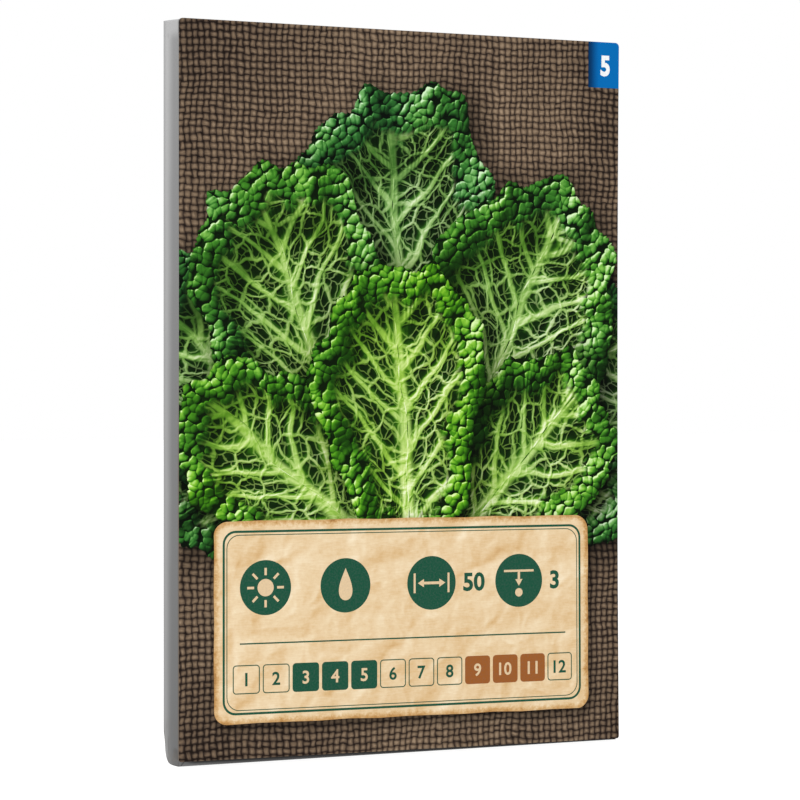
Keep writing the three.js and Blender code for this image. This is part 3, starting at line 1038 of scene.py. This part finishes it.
def draw_depth(ink, x, z):
    """An arrow from the ground down to a seed."""
    ink.stroke((x - 3.8, z + 2.2), (x + 3.8, z + 2.2), 0.5)
    ink.arrow((x, z + 2.2), (x, z - 1.2), ARROW_WIDTH, ARROW_HEAD)
    ink.disc(x, z - 2.7, 0.95)


def draw_pictograms(green, light, places, z):
    """Sun, water, spacing and depth, each in light on a green disc."""
    for x, draw in zip(places, (draw_sun, draw_drop, draw_spacing, draw_depth)):
        green.disc(x, z, PICTURE_RADIUS)
        draw(light, x, z)


def add_label_inks():
    """The front label: a sowing calendar and four pictograms, for sun, water, spacing and depth."""
    green = Ink("green_ink", DEEP_GREEN, INK_LAYER)
    brown = Ink("brown_ink", BROWN, INK_LAYER)
    light = Ink("open_ink", KRAFT, INK_LAYER + 1)
    green.border(LABEL_LEFT, LABEL_RIGHT, LABEL_BOTTOM, LABEL_TOP)
    draw_months(green, brown, light, MONTH_Z)
    rule_z = MONTH_Z + MONTH_BOX + 4.6
    green.stroke((LABEL_LEFT + 6, rule_z), (LABEL_RIGHT - 6, rule_z), 0.3)

    draw_pictograms(green, light, PICTURE_PLACES, PICTURE_Z)
    _, _, spacing_x, depth_x = PICTURE_PLACES
    green.number(SPACING_CM, spacing_x + 10.6, PICTURE_Z, PICTURE_NUMBER, weight=0.03)
    green.number(DEPTH_CM, depth_x + 9.2, PICTURE_Z, PICTURE_NUMBER, weight=0.03)
    return [green.make(), brown.make(), light.make()]


# ---- Back label ----
BACK_PICTURE_PLACES = (-30, -10, 10, 30)
BACK_PICTURES_DOWN = 15  # from the label's top
BACK_GROUND_DOWN = 46
BACK_MONTH_Z = 24.0
BACK_RULES = 5
BACK_RULE_PITCH = 8.0
PLANT_PITCH = 25.0
PLANT_LEAVES = 5
PLANT_HEIGHT = 10.5


def add_back_label():
    """The glued paper label: a printed face on a thin slab with plain edges."""
    left, right = LABEL_LOW[0], LABEL_HIGH[0]
    outline = divided(rounded_rectangle(left, right, LABEL_LOW[2], LABEL_HIGH[2], LABEL_RADIUS), LABEL_STEPS)
    flat, faces = filled(outline)
    _, edge = inside_and_distance(flat, outline)
    points = on_back(flat, 0)
    rim = list(range(len(points) - len(outline), len(points)))
    points, faces = backed(points, faces, rim, points[0], LABEL_LOW[1] - LABEL_HIGH[1])
    edge = np.concatenate([edge, np.zeros(len(rim) + 1)])
    return make_mesh("back_label_paper", points, faces, [kraft_material("kraft_paper", 0.75)],
                     values={"edge": edge}, smooth=False)


def draw_plant(ink, x, ground):
    """A fan of small pointed leaves standing on the ground."""
    for fan in range(PLANT_LEAVES):
        turn = (fan - PLANT_LEAVES // 2) * 0.55
        ahead = np.array((math.sin(turn), math.cos(turn)))
        aside = np.array((ahead[1], -ahead[0]))
        along = np.linspace(0, 1, 9)[:, None]
        half = 1.7 * np.sin(math.pi * along) ** 0.8
        stem = (x, ground + 0.6) + PLANT_HEIGHT * along * ahead
        ink.fill(np.concatenate([stem + half * aside, (stem - half * aside)[::-1][1:-1]]))


def add_back_inks():
    """The sowing guide on the back: pictograms, plants at their spacing, ruled lines and a calendar."""
    green = Ink("back_green_ink", DEEP_GREEN, 1, place=on_back)
    brown = Ink("back_brown_ink", BROWN, 1, place=on_back)
    light = Ink("back_open_ink", KRAFT, 2, place=on_back)
    left, right = LABEL_LOW[0], LABEL_HIGH[0]
    bottom, top = LABEL_LOW[2], LABEL_HIGH[2]
    green.border(left, right, bottom, top)
    draw_pictograms(green, light, BACK_PICTURE_PLACES, top - BACK_PICTURES_DOWN)

    # three plants in a row on a ground line, with their spacing and the depth of the seed
    ground = top - BACK_GROUND_DOWN
    green.stroke((left + 8, ground), (right - 8, ground), 0.5)
    for x in (-PLANT_PITCH, 0, PLANT_PITCH):
        draw_plant(green, x, ground)
        brown.disc(x, ground - 5.0, 0.9)
    for gap in (-PLANT_PITCH / 2, PLANT_PITCH / 2):
        draw_spacing(green, gap, ground - 5.0, 9.5)
        green.number(SPACING_CM, gap, ground - 9.5, 3.4, weight=0.03)

    for line in range(BACK_RULES):
        z = BACK_MONTH_Z + MONTH_BOX + 10 + line * BACK_RULE_PITCH
        green.stroke((left + 8, z), (right - 8, z), 0.25)
    draw_months(green, brown, light, BACK_MONTH_Z)
    for x, ink in ((-30, green), (6, brown)):
        ink.fill(rounded_rectangle(x, x + 5, bottom + 6.5, bottom + 9.5, 0.6))
        green.stroke((x + 8, bottom + 7.2), (x + 26, bottom + 7.2), 0.25)
    return [green.make(), brown.make(), light.make()]


# ---- Blue tab printed in the card's upper right corner ----
TAB_WIDTH = 8.0
TAB_HEIGHT = 10.5
TAB_DARK_EDGE = 2.8


def tab_material():
    """Blue ink, darker along its left edge."""
    graph = printed("blue_tab_print")
    place = graph.place_mm()
    x, _, _ = graph.separate(place)
    speck = graph.noise(place, 1.4, detail=3.0)
    left = WIDTH / 2 - TAB_WIDTH
    across = speck * 0.15 + x - left
    colour = graph.ramp(across * (1 / TAB_DARK_EDGE), (0.0, 0.3, 0.75, 1.0), "01294e 013a6c 015c9f 0168b0")
    return graph.finish(colour)


def add_tab():
    rounding = TOP_CORNER * (1 - np.sin(np.linspace(0.2, math.pi / 2, 7)))
    left, right, bottom, top = WIDTH / 2 - TAB_WIDTH, WIDTH / 2, HEIGHT - TAB_HEIGHT, HEIGHT
    columns = np.concatenate([np.linspace(left, right - TOP_CORNER, 10), right - rounding])
    rows = np.concatenate([np.linspace(bottom, top - TOP_CORNER, 12), top - rounding])
    x, z = grid_points(columns, rows)
    x, z = clip_to_card(x, z)
    tab = make_mesh("blue_tab", on_layer(np.stack([x, z], axis=1), 1), grid_faces(len(rows), len(columns)),
                    [tab_material()], smooth=False)
    digit = Ink("white_ink", "f4f6f8", 2)
    digit.number("5", right - 0.45 * TAB_WIDTH, top - 0.52 * TAB_HEIGHT, 4.8, stretch=0.85, weight=0.04)
    return [tab, digit.make()]


# ---- Tray ----
TRAY_WALL = 0.5
TRAY_INSET = 0.05  # the tray stays this far inside the card's long sides
SIDE_CROWN = 0.2
UPRIGHT_RADIUS = 0.7  # the tray's upright back edges
TOP_RADIUS = 0.3
TOP_RISE = 0.65  # the top wall bulges: its back edge stands this much higher
HEEL = 0.8  # the lower back edge, along its middle
HEEL_AT_ENDS = 4.6
HEEL_BLEND = 15.0
HEEL_STRETCH = 1.25  # the lower back edge is rounded over more height than depth
FOLD_RADIUS = 0.5  # the front edges, where they show under the card
FOLD_FADES = (1.2, 2.6)  # heights between which that fold turns sharp
SHARP_FOLD = 0.02
LEAST_RADIUS = 0.1
FLANGE = 6.0
WINDOW_RADIUS = 4.0
TRAY_STEP = 1.0
WALL_RINGS = 14
BEND_RINGS = 8
FOLD_RINGS = 3
BACK_RINGS = (0.99, 0.96, 0.88, 0.72, 0.5, 0.25, 0.02)  # shares of the back's outline
TRAY_EDGE_PLACES = np.array((0.0, 0.35, 0.9, 1.8, 3.0, 4.5, 6.5))  # points near the tray's corners
HEEL_REACH = 1.35  # the heel draws the walls in over this much of its own height
EDGE_REACH = 3.0  # the other rounded edges draw them in over this width


def smoothstep(value, low, high):
    share = np.clip((value - low) / (high - low), 0, 1)
    return share * share * (3 - 2 * share)


def tray_perimeter():
    """Points round the tray's front view as shares -1..1 across and 0..1 up, from the lower left corner."""
    across = spread(-WIDTH / 2, WIDTH / 2, TRAY_STEP, TRAY_EDGE_PLACES) / (WIDTH / 2)
    up = spread(0, HEIGHT, TRAY_STEP, TRAY_EDGE_PLACES) / HEIGHT
    all_across, all_up = np.ones(len(across) - 1), np.ones(len(up) - 1)
    return (np.concatenate([across[:-1], all_up, across[:0:-1], -all_up]),
            np.concatenate([0 * all_across, up[:-1], all_across, up[:0:-1]]))


def tray_rings(across, up, inset):
    """The tray's walls as rings, from flange to back. inset is 0 outside and the wall's width inside."""
    front = TRAY_LOW[1] + inset
    back = TRAY_HIGH[1] - inset
    top = TRAY_HIGH[2] - inset
    z = inset + (top - inset) * up
    half = half_width(across, z) - TRAY_INSET - inset
    shoulder = half - SIDE_CROWN
    x = across * shoulder
    at_ends = smoothstep(np.abs(across) * WIDTH / 2, WIDTH / 2 - HEEL_BLEND, WIDTH / 2)
    heel = HEEL + (HEEL_AT_ENDS - HEEL) * at_ends - inset
    upright_radius = max(UPRIGHT_RADIUS - inset, LEAST_RADIUS)
    top_radius = max(TOP_RADIUS - inset, LEAST_RADIUS)

    # how much each point's wall has to do with the heel, the top edge and an upright edge, from 0 to 1
    low = np.clip(1 - (z - inset) / (HEEL_REACH * HEEL_STRETCH * heel), 0, 1)
    high = np.clip(1 - (top - z) / EDGE_REACH, 0, 1)
    aside = np.clip(1 - (half - np.abs(x)) / EDGE_REACH, 0, 1)
    bend_x = aside * upright_radius
    bend_z = low * heel * HEEL_STRETCH - high * top_radius
    bend_y = np.maximum(np.maximum(low * heel, bend_x), high * top_radius)
    fold = SHARP_FOLD + max(FOLD_RADIUS - inset, 0.0) * (1 - smoothstep(z, *FOLD_FADES))

    rings = []
    for angle in np.linspace(0, math.pi / 2, FOLD_RINGS + 1)[:-1]:
        drawn_in = fold * (1 - math.sin(angle))
        fold_x = x - across * drawn_in * (np.abs(across) == 1)
        lifted = z + 0.3 * drawn_in * (up == 0)
        rings.append(np.stack([fold_x, front + fold * (1 - math.cos(angle)), lifted], axis=1))
    for share in np.linspace(0, 1, WALL_RINGS + 1):
        swell = SIDE_CROWN * 4 * share * (1 - share) * (np.abs(across) == 1)
        y = front + fold + share * (back - bend_y - front - fold)
        rise = TOP_RISE * high * (y - front) / (back - front)
        rings.append(np.stack([x + across * swell, y, z + rise], axis=1))
    for angle in np.linspace(0, math.pi / 2, BEND_RINGS + 1)[1:]:
        shrink = 1 - math.cos(angle)
        y = back - bend_y * (1 - math.sin(angle))
        bent_z = z + bend_z * shrink + TOP_RISE * high
        rings.append(np.stack([x - across * bend_x * shrink, y, bent_z], axis=1))
    flat = rings[-1]
    middle = np.array((0.0, back, HEIGHT / 2))
    for share in BACK_RINGS:
        rings.append(middle + share * (flat - middle))
    return rings


def tray_window(across, up, y):
    """The opening in the flange: a rounded rectangle, with one point for each point of the perimeter."""
    half_x = WIDTH / 2 - FLANGE
    middle_z = TRAY_HIGH[2] / 2
    half_z = middle_z - FLANGE
    x, z = across * half_x, (2 * up - 1) * half_z
    near_x, near_z = np.abs(x) - (half_x - WINDOW_RADIUS), np.abs(z) - (half_z - WINDOW_RADIUS)
    reach = np.hypot(near_x, near_z)
    outside = (near_x > 0) & (near_z > 0)
    pull = np.where(outside, WINDOW_RADIUS / np.maximum(reach, 1e-9), 1.0)
    x = np.where(outside, np.sign(x) * (half_x - WINDOW_RADIUS + near_x * pull), x)
    z = np.where(outside, np.sign(z) * (half_z - WINDOW_RADIUS + near_z * pull), z)
    return np.stack([x, np.full(len(x), y), z + middle_z], axis=1)


def add_tray():
    across, up = tray_perimeter()
    window = [tray_window(across, up, TRAY_LOW[1] + depth) for depth in (0.0, TRAY_WALL)]
    rings = tray_rings(across, up, 0.0)[::-1] + window + tray_rings(across, up, TRAY_WALL)
    count = len(across)
    faces = [tuple(reversed(range(count)))]
    faces += grid_faces(len(rings), count, closed=True)
    faces.append(tuple(range((len(rings) - 1) * count, len(rings) * count)))
    return make_mesh("tray_shell", np.concatenate(rings), faces, [tray_material()])


# Darker places on the tray's sides, partly painted shade of creases and a dent, partly wear: depth y and
# height z of the middle, reach along each, and strength.
TRAY_CREASE_SHADE_AND_WEAR = [
    (3.9, 5.4, 0.5, 2.4, 0.75), (1.2, 3.6, 0.8, 3.2, 0.45),
    (-3.4, 2.5, 2.2, 1.6, 0.75), (1.3, 156.8, 0.6, 0.6, 0.2),
]

# Painted light and shade on the board: its greys in shade at the front and in light at the back, and where
# the one fades to the other, each at the foot and at the top.
SHADED_GREYS = (0.085, 0.150)
LIT_GREYS = (0.190, 0.250)
LIGHT_FADE_MIDDLES = (0.62, 0.46)  # as a share of the depth
# painted shade near the back edge, at the foot and at the top
RIM_SHADES = (0.0, 0.20)
TOP_BAND_GREY = 0.243
TOP_BAND_EDGE = (4.8, 1.8)  # it begins between these depths below the top
LIT_FOLD_GREY = 0.165
LIT_FOLD_LENGTH = 16.0


def tray_material():
    graph = Graph("grey_pressed_board", roughness=0.55, specular=0.3)
    place = graph.place_mm()
    x, y, z = graph.separate(place)
    cloud = graph.noise(place, 0.08, detail=3.0)
    grain = graph.noise(place, 4.0, detail=4.0, roughness=0.6)

    def by_height(at_foot, at_top):
        return graph.linear(z, 0.0, HEIGHT, at_foot, at_top)

    # painted light and shade: the sides are paler towards the back, over a wider band higher up, lighter
    # towards the top, and darker again near the back edge
    depth = (cloud - 0.5) * 1.2 + y
    share = graph.linear(depth, TRAY_LOW[1], TRAY_HIGH[1])
    painted_light_share = graph.smooth(share - by_height(*LIGHT_FADE_MIDDLES), -0.25, 0.25)
    rim = graph.smooth(share, 0.70, 0.90) * by_height(*RIM_SHADES)
    dark = by_height(*SHADED_GREYS)
    pale = by_height(*LIT_GREYS)

    # along the top the board is paler, in a band with a soft lower edge
    pale_top_band = graph.smooth((cloud - 0.5) * 1.5 + z, HEIGHT - TOP_BAND_EDGE[0], HEIGHT - TOP_BAND_EDGE[1])
    grey = painted_light_share * (pale - dark) + dark
    grey = pale_top_band * (TOP_BAND_GREY - grey) + grey
    grey = grey * (1.0 - rim)
    colour = graph.combine(grey, grey, grey)

    # handling has creased and soiled the board, most of it near the foot: the creases' shade is painted in,
    # and the soil is the board's own
    beside = graph.smooth(abs(x), WIDTH / 2 - 2.5, WIDTH / 2 - 0.7)
    ragged = (graph.noise(place, 0.9, detail=3.0) - 0.5) * 0.8
    for mark_y, mark_z, reach_y, reach_z, strength in TRAY_CREASE_SHADE_AND_WEAR:
        away_y = (y - mark_y) * (1 / reach_y)
        away_z = (z - mark_z) * (1 / reach_z)
        away = graph.vector_math("LENGTH", graph.combine(away_y, away_z), output="Value")
        crease_shade_and_wear = graph.smooth(away + ragged, 0.35, 1.05, strength, 0.0)
        colour = graph.mix(crease_shade_and_wear * beside, colour, srgb("3d3a38"))
    foot = graph.smooth(z, 3.0, 13.0, 1.0, 0.0) * beside
    crease = graph.noise(graph.combine(y * 1.1, z * 0.28, x * 0.2), 1.0, detail=2.0)
    soil = graph.noise(graph.vector_math("ADD", place, (3.0, 0.0, 0.0)), 0.35, detail=2.0)
    # painted crease shade, and soil
    worn = foot * graph.smooth(crease, 0.5, 0.68, 0.0, 0.4)
    worn = worn + foot * graph.smooth(soil, 0.5, 0.66, 0.0, 0.35)
    colour = graph.mix(worn, colour, srgb("54504b"))

    # painted light: the fold under the card is paler at its left end, where the card stands higher and
    # shades it less
    in_front = graph.smooth(y, TRAY_LOW[1] + 0.02, TRAY_LOW[1] + 0.3, 1.0, 0.0)
    painted_fold_light = in_front * graph.smooth(x, -WIDTH / 2, -WIDTH / 2 + LIT_FOLD_LENGTH, 0.9, 0.0)
    colour = graph.mix(painted_fold_light, colour, (LIT_FOLD_GREY, LIT_FOLD_GREY, LIT_FOLD_GREY))

    # painted shadow: the card's lower edge casts a dark line on the board just under it
    card_edge = graph.linear(x, -WIDTH / 2, WIDTH / 2, LIFT_LEFT, LIFT_RIGHT)
    below = card_edge - z
    in_front = in_front * graph.smooth(x, -WIDTH / 2 + 0.6, -WIDTH / 2 + 4.5)
    line = in_front * graph.smooth(below, 0.15, 0.9, 0.96, 0.0)
    colour = graph.mix(line, colour, srgb("12110f"))
    graph.bump(grain, 0.00002, 0.4)
    return graph.finish(colour)


# ---- Sachet ----
SEAL = 8.0  # the flat sealed band round the pocket
BULGE = 1.7
FILM = 0.12
POCKET_HEEL = 5.0  # height over which the pocket opens to its full depth
PUCKER = 0.1
RIB_PITCH = 1.1  # the sealing jaws leave fine ribs
RIB_HEIGHT = 0.03
SACHET_GRID = 0.7


def glassine_material():
    graph = Graph("glassine", roughness=0.38, specular=0.4)
    place = graph.place_mm()
    x, _, z = graph.separate(place)
    cloud = graph.noise(place, 0.12, detail=3.0)
    fibre = graph.noise(graph.combine(x * 3.0, z * 0.5), 1.0, detail=4.0)
    tone = fibre * 0.4 + cloud * 0.6
    graph.bump(graph.noise(place, 0.5, detail=4.0), 0.0002, 0.35)
    return graph.finish(graph.mix(tone, srgb("cbccc5"), srgb("e9eae4")))


def add_sachet_web(node, sign):
    """One web of the sachet: a thin film, ribbed in the seal and puckered where the pocket begins."""
    (left, lowest_y, bottom), (right, highest_y, top) = box_mm(node)
    seal_y = highest_y - FILM if sign < 0 else lowest_y + FILM
    columns = np.linspace(left, right, round((right - left) / SACHET_GRID))
    rows = np.linspace(bottom, top, round((top - bottom) / SACHET_GRID))
    x, z = grid_points(columns, rows)
    pocket_half, pocket_height = right - SEAL, top - bottom - 2 * SEAL
    up = z - bottom - SEAL
    inside = (np.abs(x) < pocket_half) & (up > 0) & (up < pocket_height)
    across = 1 - np.clip(np.abs(x) / pocket_half, 0, 1) ** 4
    rise = smoothstep(up, -POCKET_HEEL / 2, POCKET_HEEL)
    fall = 1 - smoothstep(up, pocket_height / 4, pocket_height)
    pucker = PUCKER * np.sin(x * 0.9 + 1.3 * np.sin(up * 0.11)) * np.sin(up * 0.35 + 0.2 * x)
    off = np.where(inside, (BULGE + pucker) * across * rise * fall, 0)
    rib = RIB_HEIGHT * np.sin(2 * math.pi * z / RIB_PITCH) * ~inside
    outer = np.stack([x, seal_y + sign * (off + rib + FILM / 2), z], axis=1)
    inner = np.stack([x, seal_y + sign * (off + rib - FILM / 2), z], axis=1)
    outer_faces = grid_faces(len(rows), len(columns))
    inner_faces = grid_faces(len(rows), len(columns), first=len(outer))
    rim = grid_rim(len(rows), len(columns))
    edge_faces = [(a, b, b + len(outer), a + len(outer)) for a, b in zip(rim, rim[1:] + rim[:1])]
    if sign < 0:
        faces = outer_faces + [face[::-1] for face in inner_faces + edge_faces]
    else:
        faces = [face[::-1] for face in outer_faces] + inner_faces + edge_faces
    return make_mesh(node + "_film", np.concatenate([outer, inner]), faces, [glassine_material()])


# ---- Seeds ----
SEED_DRAWS = 500  # starts the random draws of the first seed
DENT_DEPTH = 0.03  # these three are shares of the radius
GROOVE_DEPTH = 0.05
GROOVE_WIDTH = 0.12


def seed_material():
    graph = Graph("seed_coat", roughness=0.55, specular=0.3)
    place = graph.place_mm()
    tone = graph.noise(place, 1.3, detail=3.0)
    pits = graph.voronoi(place, 7.0)
    graph.bump(pits, 0.00004, 0.6)
    return graph.finish(graph.ramp(tone, (0.3, 0.5, 0.72), "2a1a12 4a3026 6d4632"))


def add_seed(node, number, material):
    """A round seed with a shallow groove and its own small dents."""
    low, high = box_mm(node)
    middle, radius = (low + high) / 2, (high - low).min() / 2
    shape = bmesh.new()
    bmesh.ops.create_icosphere(shape, subdivisions=3, radius=1.0)
    points = np.array([vertex.co[:] for vertex in shape.verts])
    faces = [[vertex.index for vertex in face.verts] for face in shape.faces]
    shape.free()
    draw = np.random.default_rng(SEED_DRAWS + number)
    pole = draw.normal(size=3)
    pole /= np.linalg.norm(pole)
    dents = sum(np.sin(points @ draw.normal(size=3) * 3 + draw.uniform(0, 6)) for _ in range(3)) / 3
    groove = np.exp(-(points @ pole / GROOVE_WIDTH) ** 2)
    swell = 1 - DENT_DEPTH + DENT_DEPTH * dents - GROOVE_DEPTH * groove
    return make_mesh(node + "_coat", middle + radius * points * swell[:, None], faces, [material])


# ---- Everything together ----
add_camera()
add_stage()

card = add_card()
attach(card, "root")
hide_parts("front_card")
for number, leaf in enumerate(LEAVES):
    piece = add_leaf(leaf, number + 1, LEAVES[number + 1:])
    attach(piece, "root")
for piece in [add_label()] + add_label_inks() + add_tab():
    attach(piece, "root")

tray_shell = add_tray()
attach(tray_shell, "root")
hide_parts("tray")

back_label = add_back_label()
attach(back_label, "root")
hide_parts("back_label")
for piece in add_back_inks():
    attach(piece, "root")

for node, sign in (("sachet_front", -1), ("sachet_back", 1)):
    web = add_sachet_web(node, sign)
    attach(web, "root")
    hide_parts(node)

coat = seed_material()
seed_nodes = sorted(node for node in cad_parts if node.startswith("seed_"))
for number, node in enumerate(seed_nodes):
    seed = add_seed(node, number, coat)
    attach(seed, "root")
    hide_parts(node)
